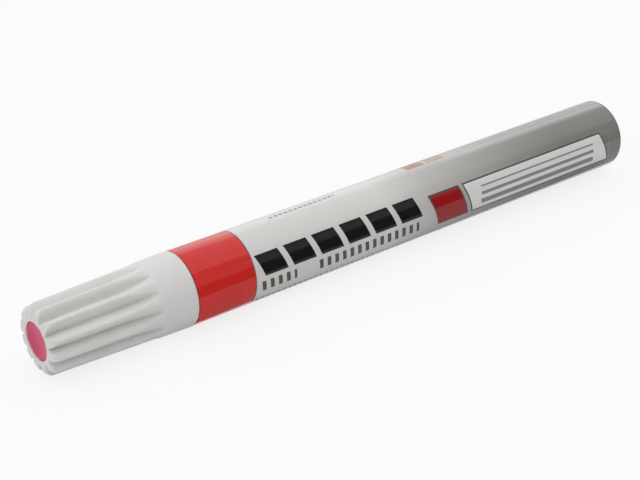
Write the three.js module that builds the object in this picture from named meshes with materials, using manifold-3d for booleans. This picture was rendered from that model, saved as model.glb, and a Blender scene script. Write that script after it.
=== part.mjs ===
// Valve-action paint marker with a fluted push-on cap, lying on its side.
// Millimetres. +X runs from the cap to the closed rear end and +Z is up. The origin is on the
// surface that the pen lies on, under the middle of its length.
// Every piece is built round the pen's axis. Stations along it are measured from the seam
// between cap and barrel: negative towards the nib, positive towards the rear.
import * as THREE from "three";
import { mergeVertices } from "three/addons/utils/BufferGeometryUtils.js";
import Module from "manifold-3d";

const wasm = await Module();
wasm.setup();

// Clearances
const SEAT = 0.05; // between pieces that touch when assembled
const SLIP = 0.15; // round a piece that slides
const FILM_SEAT = 0.03; // between a wrapped film and the tube under it

// Barrel tube and the films on it
const BARREL_RADIUS = 7.5; // over the films and over the rear bead
const BARREL_LENGTH = 112.28;
const FILM = 0.15;
const BAND_LENGTH = 12.6; // the colour band next to the cap
const FILM_INSET = 0.12; // bare tube in front of the colour band
const FILM_SPLIT = 0.08; // between the colour band and the printed label
const TUBE_WALL = 0.45;
const LIP_LENGTH = 0.8; // rolled front edge that holds the front section
const LIP_ROUND = 0.2;
const BEAD_LENGTH = 0.5; // full-radius bead behind the label
const END_ROUND = 0.45;
const FLOOR = 0.9;
const FLOOR_ROUND = 1.6; // inside corner at the floor
const RIM_WIDTH = 1.1; // flat ring that the pen stands on
const DISH_DEPTH = 0.7;

// Front section: nose, sealing land, neck, collar for the cap, and the plug inside the tube
const NOSE_LENGTH = 5;
const NOSE_TIP_RADIUS = 3;
const LAND_LENGTH = 2.6;
const LAND_RADIUS = 4.1;
const NECK_LENGTH = 2.6;
const NECK_RADIUS = 4.65;
const COLLAR_LENGTH = 7;
const COLLAR_RADIUS = 6.4;
const PLUG_LENGTH = 11;
const SNAP_HEIGHT = 0.14; // bead that clicks into the cap
const SNAP_WIDTH = 1.2;
const SNAP_BACK = 3.2; // from the front of the collar to the bead's middle
const EDGE = 0.4; // chamfers and ramps on the front section

// Nib and valve
const NIB_RADIUS = 2.2;
const NIB_LENGTH = 28;
const NIB_REACH = 6.4; // out of the nose
const NIB_BULLET = 3.4; // length of the rounded tip
const TRAVEL = 2.5; // how far the nib pushes in
const TRAVEL_SPARE = 0.6;
const CHAMBER_RADIUS = 3.2; // paint chamber between nib and valve
const CHAMBER_DEPTH = 6.5;
const SEAT_THICKNESS = 1.4;
const SEAT_LIP = 0.35; // sealing lip on the valve seat
const SEAT_LIP_WIDTH = 0.55;
const ROD_RADIUS = 1;
const FLOW_GAP = 0.5; // round the rod, where the paint runs
const GASKET_THICKNESS = 0.9;
const HEAD_RADIUS = 3;
const HEAD_THICKNESS = 1.2;
const PIN_RADIUS = 0.8; // inside the spring
const PIN_LENGTH = 5;
const CAGE_GAP = 0.5; // between valve head and cage
const CAGE_WALL = 0.8;
const CAGE_FLOOR = 1;
const CAGE_WINDOWS = 4;
const WINDOW_WIDTH = 3.4;
const WINDOW_LENGTH = 6.5;
const WINDOW_BACK = 1.1; // from the windows to the cage's floor
const DRAIN_RADIUS = 1.2;
const SPRING_RADIUS = 1.7; // at the wire's centre
const SPRING_WIRE = 0.5;
const SPRING_LENGTH = 9;
const SPRING_TURNS = 7;

// Sealing ring round the plug
const RING_SECTION = 1.2;
const RING_BACK = 4.2; // from the plug's shoulder to the ring's middle

// Mixing ball
const BALL_RADIUS = 3;
const BALL_STATION = 62;

// Cap
const CAP_LENGTH = 30;
const CAP_GAP = 0.12; // between the cap's mouth and the barrel
const CAP_FIT = 0.22; // round the collar
const CAP_WALL = 0.94; // round the collar, at the mouth
const MOUTH_ROUND = 0.3;
const FRONT_RADIUS = 6.85;
const FRONT_ROUND = 1.6;
const FLUTES = 12;
const FLUTE_DEPTH = 1.5;
const FLUTE_SHARE = 0.95; // of the pitch that a flute takes
const FLUTE_TURN = 4.5; // facets from the top to the middle of a flute
const FLUTE_RUNOUT = 6.5; // over which a flute fades to nothing
const FLUTE_CLEAR = 0.6; // between the flutes' ends and the wide bore
const COLLAR_ROOM = 0.4; // in front of the collar
const CAP_END_WALL = 1;
const DISC_RADIUS = 3.77;
const DISC_THICKNESS = 1.2;
const DISC_RECESS = 0.25;
const DISC_EDGE = 0.2;
const PEG_RADIUS = 1.1;
const PEG_LENGTH = 0.9;

// Inner seal of the cap
const LINER_POCKET_RADIUS = 3.1; // round the bare nib
const LINER_WALL = 0.65;
const LINER_FLOOR = 0.8;
const LINER_ROOM = 0.8; // in front of the nose
const LINER_OVERLAP = 2; // of its lip on the sealing land

// Facets round the axis. The bottom facets are level, so that the pen lies still; the half
// facet in the flutes' turn sees to that on the cap.
const OUTER_SIDES = 72;
const INNER_SIDES = 40;
const FLUTE_SIDES = 6; // facets in a flute and its rib, as wide as the barrel's
const SMALL_SIDES = 24;
const RING_SIDES = 8; // round the section of the sealing ring
const WIRE_SIDES = 6;
const STEPS_PER_TURN = 12;
const BALL_SIDES = 20;
const ROUND_STEPS = 3; // in a quarter of a circle
const RUNOUT_STEPS = 8; // along the end of a flute

// Stations and radii that follow from the sizes
const capBore = COLLAR_RADIUS + CAP_FIT;
const mouthRadius = capBore + CAP_WALL;
const tubeRadius = BARREL_RADIUS - FILM - FILM_SEAT;
const boreRadius = tubeRadius - TUBE_WALL;
const plugRadius = boreRadius - SEAT;
const lipRadius = COLLAR_RADIUS + SEAT;
const shoulder = LIP_LENGTH + SEAT;
const plugEnd = shoulder + PLUG_LENGTH;
const collarFront = -COLLAR_LENGTH;
const neckFront = collarFront - NECK_LENGTH;
const landFront = neckFront - LAND_LENGTH;
const noseFront = landFront - NOSE_LENGTH;
const nibTip = noseFront - NIB_REACH;
const nibRear = nibTip + NIB_LENGTH;
const seatFront = nibRear + TRAVEL + TRAVEL_SPARE;
const seatRear = seatFront + SEAT_THICKNESS;
const gasketFront = seatRear + SEAT_LIP + SEAT;
const headFront = gasketFront + GASKET_THICKNESS + SEAT;
const headRear = headFront + HEAD_THICKNESS;
const springFront = headRear + SEAT;
const cageFront = seatRear + SEAT;
const cageFloor = springFront + SPRING_LENGTH + SEAT;
const cageBore = HEAD_RADIUS + CAGE_GAP;
const cageRadius = cageBore + CAGE_WALL;
const valveBore = cageRadius + SEAT;
const barrelFloor = BARREL_LENGTH - DISH_DEPTH - FLOOR;
const capMouth = -CAP_GAP;
const capFront = capMouth - CAP_LENGTH;
const discSeat = DISC_RECESS + DISC_THICKNESS + SEAT;
const capFloor = discSeat + CAP_END_WALL;
const wideFront = collarFront - COLLAR_ROOM;
const fluteEnd = wideFront - FLUTE_CLEAR;
const capFacet = (2 * Math.PI) / (FLUTES * FLUTE_SIDES);
const fluteTurn = FLUTE_TURN * capFacet;
const linerFront = capFront + capFloor + SEAT;
const linerPocket = noseFront - LINER_ROOM; // where its pocket starts to widen
const linerLip = LAND_RADIUS + SEAT;
const linerShift = LINER_WALL * (Math.SQRT2 - 1); // keeps the wall even along the cone
const axisHeight = mouthRadius * Math.cos(capFacet / 2);
const middle = (BARREL_LENGTH + capFront) / 2;

const material = (color, roughness, metalness = 0) =>
  new THREE.MeshStandardMaterial({ color, roughness, metalness });
const WHITE_CAP = material(0xdcdad6, 0.62);
const INK_DISC = material(0xc8445f, 0.4);
const SEAL = material(0xe9e6df, 0.5);
const BAND_RED = material(0xcc2a26, 0.22);
const LABEL = material(0xcfccc8, 0.28);
const ALUMINIUM = material(0xb9b8b6, 0.34, 0.9);
const FRONT_WHITE = material(0xe4e1dc, 0.4);
const FELT = material(0xb3202b, 0.95);
const VALVE = material(0xd9d8d2, 0.45);
const RUBBER = material(0x1c1c1d, 0.8);
const STEEL = material(0xa9abad, 0.25, 1);

// A round edge between two straight stretches: points [station, radius] on a quarter circle.
function quarter(station, radius, size, from) {
  return Array.from({ length: ROUND_STEPS + 1 }, (_, step) => {
    const angle = from + (step / ROUND_STEPS) * (Math.PI / 2);
    return [station + size * Math.cos(angle), radius + size * Math.sin(angle)];
  });
}

// Turns a profile of [station, radius] points round the pen's axis. A profile ends on the axis
// or closes on itself, and runs towards the cap on the outside.
function turned(profile, sides) {
  const angles = Array.from({ length: sides }, (_, side) => ((side + 0.5) / sides) * 2 * Math.PI);
  return swept(profile, angles, (station, radius) => radius);
}

// The same at given angles, with a rule that changes the radius with station and angle.
function swept(profile, angles, radiusAt) {
  const sides = angles.length;
  const rings = profile.map(([station, radius]) => {
    if (radius === 0) return [[station, 0, 0]];
    return angles.map((angle) => {
      const reach = radiusAt(station, radius, angle);
      return [station, -reach * Math.sin(angle), reach * Math.cos(angle)];
    });
  });
  const starts = [];
  const points = [];
  for (const ring of rings) {
    starts.push(points.length);
    points.push(...ring);
  }
  const onAxis = rings[0].length === 1;
  const faces = [];
  for (let ring = 0; ring < rings.length - (onAxis ? 1 : 0); ring++) {
    const next = (ring + 1) % rings.length;
    for (let side = 0; side < sides; side++) {
      const corner = (which, turn) =>
        starts[which] + (rings[which].length === 1 ? 0 : (side + turn) % sides);
      const [a, b, c, d] = [corner(ring, 0), corner(ring, 1), corner(next, 1), corner(next, 0)];
      if (a !== b) faces.push(a, c, b);
      if (c !== d) faces.push(a, d, c);
    }
  }
  const geometry = new THREE.BufferGeometry();
  geometry.setAttribute("position", new THREE.Float32BufferAttribute(points.flat(), 3));
  geometry.setIndex(faces);
  return geometry;
}

// A plain ring of the given stations and radii.
function ring(front, rear, inner, outer, sides) {
  return turned([[front, inner], [rear, inner], [rear, outer], [front, outer]], sides);
}

// A geometry as a manifold solid, for cutting.
function solid(geometry) {
  const bare = geometry.clone();
  bare.deleteAttribute("normal");
  bare.deleteAttribute("uv");
  const merged = mergeVertices(bare);
  return new wasm.Manifold(new wasm.Mesh({
    numProp: 3,
    vertProperties: merged.attributes.position.array,
    triVerts: new Uint32Array(merged.index.array),
  }));
}

// A manifold solid as a geometry again.
function geometryOf(made) {
  const mesh = made.getMesh();
  const geometry = new THREE.BufferGeometry();
  geometry.setAttribute("position", new THREE.BufferAttribute(mesh.vertProperties, 3));
  geometry.setIndex(new THREE.BufferAttribute(mesh.triVerts, 1));
  return geometry;
}

// Aluminium tube: rolled lip at the front, label panel, bead, and a dished floor.
function barrelTube() {
  const rimRadius = BARREL_RADIUS - END_ROUND;
  const dish = rimRadius - RIM_WIDTH;
  return turned([
    [BARREL_LENGTH - DISH_DEPTH, 0],
    [BARREL_LENGTH - DISH_DEPTH, dish - DISH_DEPTH],
    [BARREL_LENGTH, dish],
    ...quarter(BARREL_LENGTH - END_ROUND, rimRadius, END_ROUND, 0),
    [BARREL_LENGTH - BEAD_LENGTH, BARREL_RADIUS],
    [BARREL_LENGTH - BEAD_LENGTH, tubeRadius],
    ...quarter(LIP_ROUND, tubeRadius - LIP_ROUND, LIP_ROUND, Math.PI / 2),
    [0, lipRadius],
    [LIP_LENGTH, lipRadius],
    [LIP_LENGTH, boreRadius],
    ...quarter(barrelFloor - FLOOR_ROUND, boreRadius - FLOOR_ROUND, FLOOR_ROUND, 0).reverse(),
    [barrelFloor, 0],
  ], OUTER_SIDES);
}

function film(front, rear) {
  return ring(front, rear, BARREL_RADIUS - FILM, BARREL_RADIUS, OUTER_SIDES);
}

// Front section: one moulding from the nose to the plug, with the nib's bore, the paint
// chamber and the valve's bore inside, and a groove for the sealing ring outside.
function frontSection() {
  const nibBore = NIB_RADIUS + SLIP;
  const snap = collarFront + SNAP_BACK;
  const groove = shoulder + RING_BACK;
  const grooveHalf = RING_SECTION / 2 + SEAT;
  const grooveRadius = boreRadius - SEAT - RING_SECTION - SEAT;
  return turned([
    [noseFront, nibBore],
    [seatFront - SEAT - CHAMBER_DEPTH, nibBore],
    [seatFront - SEAT - CHAMBER_DEPTH + CHAMBER_RADIUS - nibBore, CHAMBER_RADIUS],
    [seatFront - SEAT, CHAMBER_RADIUS],
    [seatFront - SEAT, valveBore],
    [plugEnd, valveBore],
    [plugEnd, plugRadius - EDGE],
    [plugEnd - EDGE, plugRadius],
    [groove + grooveHalf, plugRadius],
    [groove + grooveHalf, grooveRadius],
    [groove - grooveHalf, grooveRadius],
    [groove - grooveHalf, plugRadius],
    [shoulder, plugRadius],
    [shoulder, COLLAR_RADIUS],
    [snap + SNAP_WIDTH / 2, COLLAR_RADIUS],
    [snap + SNAP_WIDTH / 6, COLLAR_RADIUS + SNAP_HEIGHT],
    [snap - SNAP_WIDTH / 6, COLLAR_RADIUS + SNAP_HEIGHT],
    [snap - SNAP_WIDTH / 2, COLLAR_RADIUS],
    [collarFront + EDGE, COLLAR_RADIUS],
    [collarFront, COLLAR_RADIUS - EDGE],
    [collarFront, NECK_RADIUS],
    [neckFront + EDGE, NECK_RADIUS],
    [neckFront, LAND_RADIUS],
    [landFront, LAND_RADIUS],
    [noseFront + EDGE, NOSE_TIP_RADIUS],
    [noseFront, NOSE_TIP_RADIUS - EDGE],
  ], INNER_SIDES);
}

// Bullet nib: a rod of fibre with an elliptical tip.
function nib() {
  const tip = Array.from({ length: ROUND_STEPS * 2 }, (_, step) => {
    const angle = ((step + 1) / (ROUND_STEPS * 2)) * (Math.PI / 2);
    return [nibTip + NIB_BULLET * (1 - Math.cos(angle)), NIB_RADIUS * Math.sin(angle)];
  });
  return turned([[nibRear, 0], [nibRear, NIB_RADIUS], ...tip.reverse(), [nibTip, 0]], SMALL_SIDES);
}

// Valve seat: a plate with a hole for the rod and a raised sealing lip behind it.
function valveSeat() {
  const hole = ROD_RADIUS + FLOW_GAP;
  return turned([
    [seatFront, hole],
    [seatRear + SEAT_LIP, hole],
    [seatRear + SEAT_LIP, hole + SEAT_LIP_WIDTH],
    [seatRear, hole + SEAT_LIP_WIDTH],
    [seatRear, cageRadius],
    [seatFront, cageRadius],
  ], SMALL_SIDES);
}

// Valve stem: the rod that the nib pushes, the head, and the pin inside the spring.
function valveStem() {
  return turned([
    [headRear + PIN_LENGTH, 0],
    [headRear + PIN_LENGTH, PIN_RADIUS],
    [headRear, PIN_RADIUS],
    [headRear, HEAD_RADIUS],
    [headFront, HEAD_RADIUS],
    [headFront, ROD_RADIUS],
    [nibRear + SEAT, ROD_RADIUS],
    [nibRear + SEAT, 0],
  ], SMALL_SIDES);
}

// Valve cage: a cup that holds the spring, with windows that let the paint in.
function valveCage() {
  const cup = solid(turned([
    [cageFront, cageBore],
    [cageFloor, cageBore],
    [cageFloor, DRAIN_RADIUS],
    [cageFloor + CAGE_FLOOR, DRAIN_RADIUS],
    [cageFloor + CAGE_FLOOR, cageRadius],
    [cageFront, cageRadius],
  ], SMALL_SIDES));
  const middleStation = cageFloor - WINDOW_BACK - WINDOW_LENGTH / 2;
  let cut = cup;
  for (let window = 0; window < CAGE_WINDOWS; window++) {
    const box = new THREE.BoxGeometry(WINDOW_LENGTH, WINDOW_WIDTH, cageRadius);
    box.translate(middleStation, 0, cageBore);
    box.rotateX(((window + 0.5) / CAGE_WINDOWS) * 2 * Math.PI);
    cut = cut.subtract(solid(box));
  }
  return geometryOf(cut);
}

// Compression spring: the wire follows a helix whose end turns lie flat.
class SpringPath extends THREE.Curve {
  getPoint(share) {
    const turn = share * SPRING_TURNS;
    const open = SPRING_LENGTH - 3 * SPRING_WIRE;
    const flat = Math.min(turn, 1) + Math.max(0, turn - SPRING_TURNS + 1);
    const rise = Math.min(Math.max(turn - 1, 0), SPRING_TURNS - 2) / (SPRING_TURNS - 2);
    const station = springFront + SPRING_WIRE / 2 + flat * SPRING_WIRE + rise * open;
    const angle = turn * 2 * Math.PI;
    return new THREE.Vector3(
      station, SPRING_RADIUS * Math.sin(angle), SPRING_RADIUS * Math.cos(angle));
  }
}

function valveSpring() {
  const section = new THREE.Shape();
  section.absarc(0, 0, SPRING_WIRE / 2 - SEAT / 2, 0, 2 * Math.PI);
  return new THREE.ExtrudeGeometry(section, {
    extrudePath: new SpringPath(),
    steps: SPRING_TURNS * STEPS_PER_TURN,
    curveSegments: WIRE_SIDES / 2,
    bevelEnabled: false,
  });
}

function sealingRing() {
  const station = shoulder + RING_BACK;
  const radius = boreRadius - SEAT - RING_SECTION / 2;
  const section = Array.from({ length: RING_SIDES }, (_, side) => {
    const angle = (side / RING_SIDES) * 2 * Math.PI;
    return [
      station + (RING_SECTION / 2) * Math.cos(angle),
      radius + (RING_SECTION / 2) * Math.sin(angle),
    ];
  });
  return turned(section, INNER_SIDES);
}

function mixingBall() {
  const ball = new THREE.SphereGeometry(BALL_RADIUS, BALL_SIDES, BALL_SIDES / 2);
  ball.translate(BALL_STATION, 0, BALL_RADIUS + SLIP - boreRadius);
  return ball;
}

// How far a flute goes in at a station and an angle. Each flute is a round groove that keeps
// its depth and then rises out of the cap, so that it narrows to a point before the skirt.
function fluteCut(station, angle) {
  const sunk = THREE.MathUtils.smoothstep(fluteEnd - station, 0, FLUTE_RUNOUT);
  const pitch = (2 * Math.PI) / FLUTES;
  const away = THREE.MathUtils.euclideanModulo(angle - fluteTurn + pitch / 2, pitch) - pitch / 2;
  const share = Math.min(1, Math.abs(away) / (pitch / 2) / FLUTE_SHARE);
  return FLUTE_DEPTH * Math.max(0, (1 - share ** 2) ** 2 - (1 - sunk));
}

// Outside of the cap: a cone with a round front edge, fluted down to the skirt.
function capOutside() {
  const slope = (mouthRadius - FRONT_RADIUS) / (CAP_LENGTH - MOUTH_ROUND);
  const cone = (station) => FRONT_RADIUS + slope * (station - capFront);
  const runout = Array.from({ length: RUNOUT_STEPS + 1 }, (_, step) => {
    const station = fluteEnd - FLUTE_RUNOUT * (step / RUNOUT_STEPS);
    return [station, cone(station)];
  });
  const corner = Array.from({ length: ROUND_STEPS + 1 }, (_, step) => {
    const angle = (step / ROUND_STEPS) * (Math.PI / 2);
    const station = capFront + FRONT_ROUND * (1 - Math.cos(angle));
    return [station, cone(station) - FRONT_ROUND * (1 - Math.sin(angle))];
  });
  const angles = Array.from({ length: FLUTES * FLUTE_SIDES }, (_, side) =>
    fluteTurn + side * capFacet);
  return swept([
    [capMouth, 0],
    [capMouth, mouthRadius - MOUTH_ROUND],
    [capMouth - MOUTH_ROUND, mouthRadius],
    ...runout,
    ...corner.reverse(),
    [capFront, 0],
  ], angles, (station, radius, angle) =>
    Math.min(radius, cone(station) - fluteCut(station, angle)));
}

// Inside of the cap: a wide bore for the collar with a groove for its bead, a narrower one for
// the inner seal, a hole for the disc's peg, and the disc's recess in the end.
function capInside() {
  const narrow = linerLip + LINER_WALL + SEAT;
  const pocket = LINER_POCKET_RADIUS + LINER_WALL + SEAT;
  const widening = linerPocket - linerShift - SEAT;
  const groove = collarFront + SNAP_BACK;
  return turned([
    [capMouth + CAP_GAP, 0],
    [capMouth + CAP_GAP, capBore + MOUTH_ROUND],
    [capMouth, capBore + MOUTH_ROUND],
    [capMouth - MOUTH_ROUND, capBore],
    [groove + SNAP_WIDTH, capBore],
    [groove + SNAP_WIDTH / 4, capBore + SNAP_HEIGHT],
    [groove - SNAP_WIDTH / 4, capBore + SNAP_HEIGHT],
    [groove - SNAP_WIDTH, capBore],
    [wideFront, capBore],
    [wideFront, narrow],
    [widening + narrow - pocket, narrow],
    [widening, pocket],
    [capFront + capFloor, pocket],
    [capFront + capFloor, PEG_RADIUS + SEAT],
    [capFront + discSeat, PEG_RADIUS + SEAT],
    [capFront + discSeat, DISC_RADIUS + SEAT],
    [capFront - CAP_GAP, DISC_RADIUS + SEAT],
    [capFront - CAP_GAP, 0],
  ], INNER_SIDES);
}

function capShell() {
  return geometryOf(solid(capOutside()).subtract(solid(capInside())));
}

// Colour disc in the cap's end, with a peg through the end wall.
function capDisc() {
  const front = capFront + DISC_RECESS;
  const rear = front + DISC_THICKNESS;
  return turned([
    [rear + PEG_LENGTH, 0],
    [rear + PEG_LENGTH, PEG_RADIUS],
    [rear, PEG_RADIUS],
    [rear, DISC_RADIUS],
    [front + DISC_EDGE, DISC_RADIUS],
    [front, DISC_RADIUS - DISC_EDGE],
    [front, 0],
  ], INNER_SIDES);
}

// Inner seal: a cup whose lip grips the sealing land and keeps the nib wet.
function capLiner() {
  const rear = landFront + LINER_OVERLAP;
  const widening = linerLip - LINER_POCKET_RADIUS;
  return turned([
    [linerFront + LINER_FLOOR, 0],
    [linerFront + LINER_FLOOR, LINER_POCKET_RADIUS],
    [linerPocket, LINER_POCKET_RADIUS],
    [linerPocket + widening, linerLip],
    [rear, linerLip],
    [rear, linerLip + LINER_WALL],
    [linerPocket + widening - linerShift, linerLip + LINER_WALL],
    [linerPocket - linerShift, LINER_POCKET_RADIUS + LINER_WALL],
    [linerFront + EDGE, LINER_POCKET_RADIUS + LINER_WALL],
    [linerFront, LINER_POCKET_RADIUS + LINER_WALL - EDGE],
    [linerFront, 0],
  ], INNER_SIDES);
}

const bandRear = FILM_INSET + BAND_LENGTH;
const labelRear = BARREL_LENGTH - BEAD_LENGTH - SEAT;
const pieces = {
  cap_shell: [capShell(), WHITE_CAP],
  cap_disc: [capDisc(), INK_DISC],
  cap_liner: [capLiner(), SEAL],
  nib: [nib(), FELT],
  front_section: [frontSection(), FRONT_WHITE],
  sealing_ring: [sealingRing(), RUBBER],
  valve_seat: [valveSeat(), VALVE],
  valve_gasket: [
    ring(gasketFront, gasketFront + GASKET_THICKNESS, ROD_RADIUS + SEAT, HEAD_RADIUS, SMALL_SIDES),
    RUBBER,
  ],
  valve_stem: [valveStem(), VALVE],
  valve_spring: [valveSpring(), STEEL],
  valve_cage: [valveCage(), VALVE],
  mixing_ball: [mixingBall(), STEEL],
  barrel_tube: [barrelTube(), ALUMINIUM],
  colour_band: [film(FILM_INSET, bandRear), BAND_RED],
  printed_label: [film(bandRear + FILM_SPLIT, labelRear), LABEL],
};

const marker = new THREE.Group();
for (const [name, [geometry, finish]] of Object.entries(pieces)) {
  const mesh = new THREE.Mesh(geometry, finish);
  mesh.name = name;
  marker.add(mesh);
}
marker.position.set(-middle, 0, axisHeight);

const part = new THREE.Group();
part.add(marker);
export default part;
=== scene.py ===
"""Looks of a valve-action paint marker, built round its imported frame.

The pen lies along X with its capped end at -X. Stations are measured in millimetres from the
front of the cap, and radii from the pen's axis. Angles round it are 0 at the top.
"""

import logging
import math
from dataclasses import dataclass, field
from enum import Enum
from functools import cache

import bmesh
import bpy
from mathutils import Matrix, Vector


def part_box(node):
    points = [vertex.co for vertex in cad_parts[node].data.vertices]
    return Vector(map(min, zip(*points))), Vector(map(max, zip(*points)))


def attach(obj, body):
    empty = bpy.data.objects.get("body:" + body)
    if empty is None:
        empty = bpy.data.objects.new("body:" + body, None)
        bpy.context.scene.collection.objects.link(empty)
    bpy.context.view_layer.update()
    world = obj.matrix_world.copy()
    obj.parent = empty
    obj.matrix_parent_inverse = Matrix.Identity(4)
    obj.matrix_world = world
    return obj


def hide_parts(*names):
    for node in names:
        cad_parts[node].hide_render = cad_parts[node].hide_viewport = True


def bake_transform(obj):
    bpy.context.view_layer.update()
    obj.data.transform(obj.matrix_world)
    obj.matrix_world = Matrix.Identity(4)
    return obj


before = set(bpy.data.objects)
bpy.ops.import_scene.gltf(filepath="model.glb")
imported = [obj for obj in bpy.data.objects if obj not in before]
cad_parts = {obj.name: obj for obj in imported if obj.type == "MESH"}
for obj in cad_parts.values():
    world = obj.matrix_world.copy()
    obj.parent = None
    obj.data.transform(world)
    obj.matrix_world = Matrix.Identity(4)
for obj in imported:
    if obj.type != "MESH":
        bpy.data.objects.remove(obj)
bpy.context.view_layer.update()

LOG = logging.getLogger("paint_marker")
Colour = tuple[float, float, float]
Place = tuple[float, float, float]
Pair = tuple[float, float]
Corner = tuple[float, ...]  # station, radius and, where it has one, the size of its round
Mesh = bmesh.types.BMesh
Socket = bpy.types.NodeSocket
MM = 0.001
SHARP_ANGLE = math.radians(32)
SPIN_STEPS = 192
INNER_STEPS = 96  # for the smaller pieces
ROUND_SEGMENTS = 6
MERGE_DISTANCE = 0.0005  # millimetres
FINE_ROUND = 0.1  # millimetres
SOFT_ROUND = 0.2  # millimetres
PATCH_DETAIL = 3.0
MATT_ROUGHNESS = 0.9


class Body(Enum):
    """The bodies of the frame that new pieces ride on."""

    BARREL = "barrel"
    CAP = "cap"
    NIB = "nib"
    BALL = "mixing_ball"


class Op(Enum):
    """The operations of a Math node that the materials use."""

    ADD = "ADD"
    SUBTRACT = "SUBTRACT"
    MULTIPLY = "MULTIPLY"
    DIVIDE = "DIVIDE"
    GREATER = "GREATER_THAN"
    LESS = "LESS_THAN"
    FRACT = "FRACT"
    ARCTAN2 = "ARCTAN2"
    DEGREES = "DEGREES"
    SQUARE_ROOT = "SQRT"
    MAXIMUM = "MAXIMUM"
    MINIMUM = "MINIMUM"


@dataclass(frozen=True)
class PenAxis:
    """Where the pen's axis lies in the frame."""

    front: float  # X of the cap's front end, in metres
    height: float  # Z of the axis, in metres

    @classmethod
    def from_frame(cls) -> "PenAxis":
        """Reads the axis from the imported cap."""
        low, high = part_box("cap_shell")
        return cls(front=low[0], height=(low[2] + high[2]) / 2)

    def point(self, station: float, radius: float = 0.0) -> Vector:
        """Gives the point, in metres, at a station and at a radius straight above the axis."""
        return Vector((self.front + station * MM, 0.0, self.height + radius * MM))

    def station(self, x: float) -> float:
        """Turns an X in metres into a station in millimetres."""
        return (x - self.front) / MM

    def radius(self, point: Vector) -> float:
        """Gives a point's distance from the axis in millimetres."""
        return math.hypot(point.y, point.z - self.height) / MM

    def around(self, point: Vector) -> float:
        """Gives a point's angle round the axis in degrees, 0 at the top and positive to -Y."""
        return math.degrees(math.atan2(-point.y, point.z - self.height))


AXIS = PenAxis.from_frame()


@dataclass(frozen=True)
class Span:
    """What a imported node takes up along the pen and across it, in millimetres."""

    start: float
    end: float
    radius: float

    @classmethod
    def of(cls, node: str) -> "Span":
        """Measures a node: its first and last station and its outer radius."""
        low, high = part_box(node)
        return cls(AXIS.station(low[0]), AXIS.station(high[0]), (high[1] - low[1]) / 2 / MM)


def measured(node: str) -> Span:
    """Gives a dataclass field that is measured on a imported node."""
    return field(default_factory=lambda: Span.of(node))


def eased(share: float) -> float:
    """Eases a share from 0 to 1, so that it starts and ends level."""
    return share * share * (3 - 2 * share)


@dataclass(frozen=True)
class Lathe:
    """Makes round pieces from an outline."""

    steps: int = SPIN_STEPS  # Facets round the axis
    longest: float = 0.0  # Longest edge left along the outline, in millimetres, or 0 for any

    def outline(self, corners: list[Corner]) -> Mesh:
        """Draws an outline with its rounds.

        Args:
            corners: Its corners in order. They start and end on the axis, or close on themselves.

        Returns:
            A mesh of edges only, with no edge along the axis.
        """
        mesh = bmesh.new()
        verts = [mesh.verts.new(AXIS.point(station, radius)) for station, radius, *_ in corners]
        for first, second in zip(verts, verts[1:]):
            mesh.edges.new((first, second))
        if corners[0][1] > 0:
            mesh.edges.new((verts[-1], verts[0]))
        for vert, (_, _, *rounds) in zip(verts, corners):
            for size in rounds:
                bmesh.ops.bevel(
                    mesh, geom=[vert], offset=size * MM, offset_type="OFFSET",
                    segments=ROUND_SEGMENTS, profile=0.5, affect="VERTICES",
                    clamp_overlap=True, material=-1,
                )
        if self.longest:
            for edge in list(mesh.edges):
                cuts = int(edge.calc_length() / (self.longest * MM))
                if cuts:
                    bmesh.ops.subdivide_edges(mesh, edges=[edge], cuts=cuts)
        return mesh

    def spin(self, corners: list[Corner]) -> Mesh:
        """Spins an outline all the way round the pen's axis.

        Args:
            corners: The outline's corners.

        Returns:
            A closed mesh with its faces outwards.
        """
        mesh = self.outline(corners)
        bmesh.ops.spin(
            mesh, geom=mesh.verts[:] + mesh.edges[:], axis=(1, 0, 0),
            cent=AXIS.point(0), dvec=(0, 0, 0), angle=2 * math.pi,
            steps=self.steps, use_merge=True, use_duplicate=False,
        )
        bmesh.ops.remove_doubles(mesh, verts=mesh.verts[:], dist=MERGE_DISTANCE * MM)
        bmesh.ops.recalc_face_normals(mesh, faces=mesh.faces[:])
        return mesh


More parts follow.
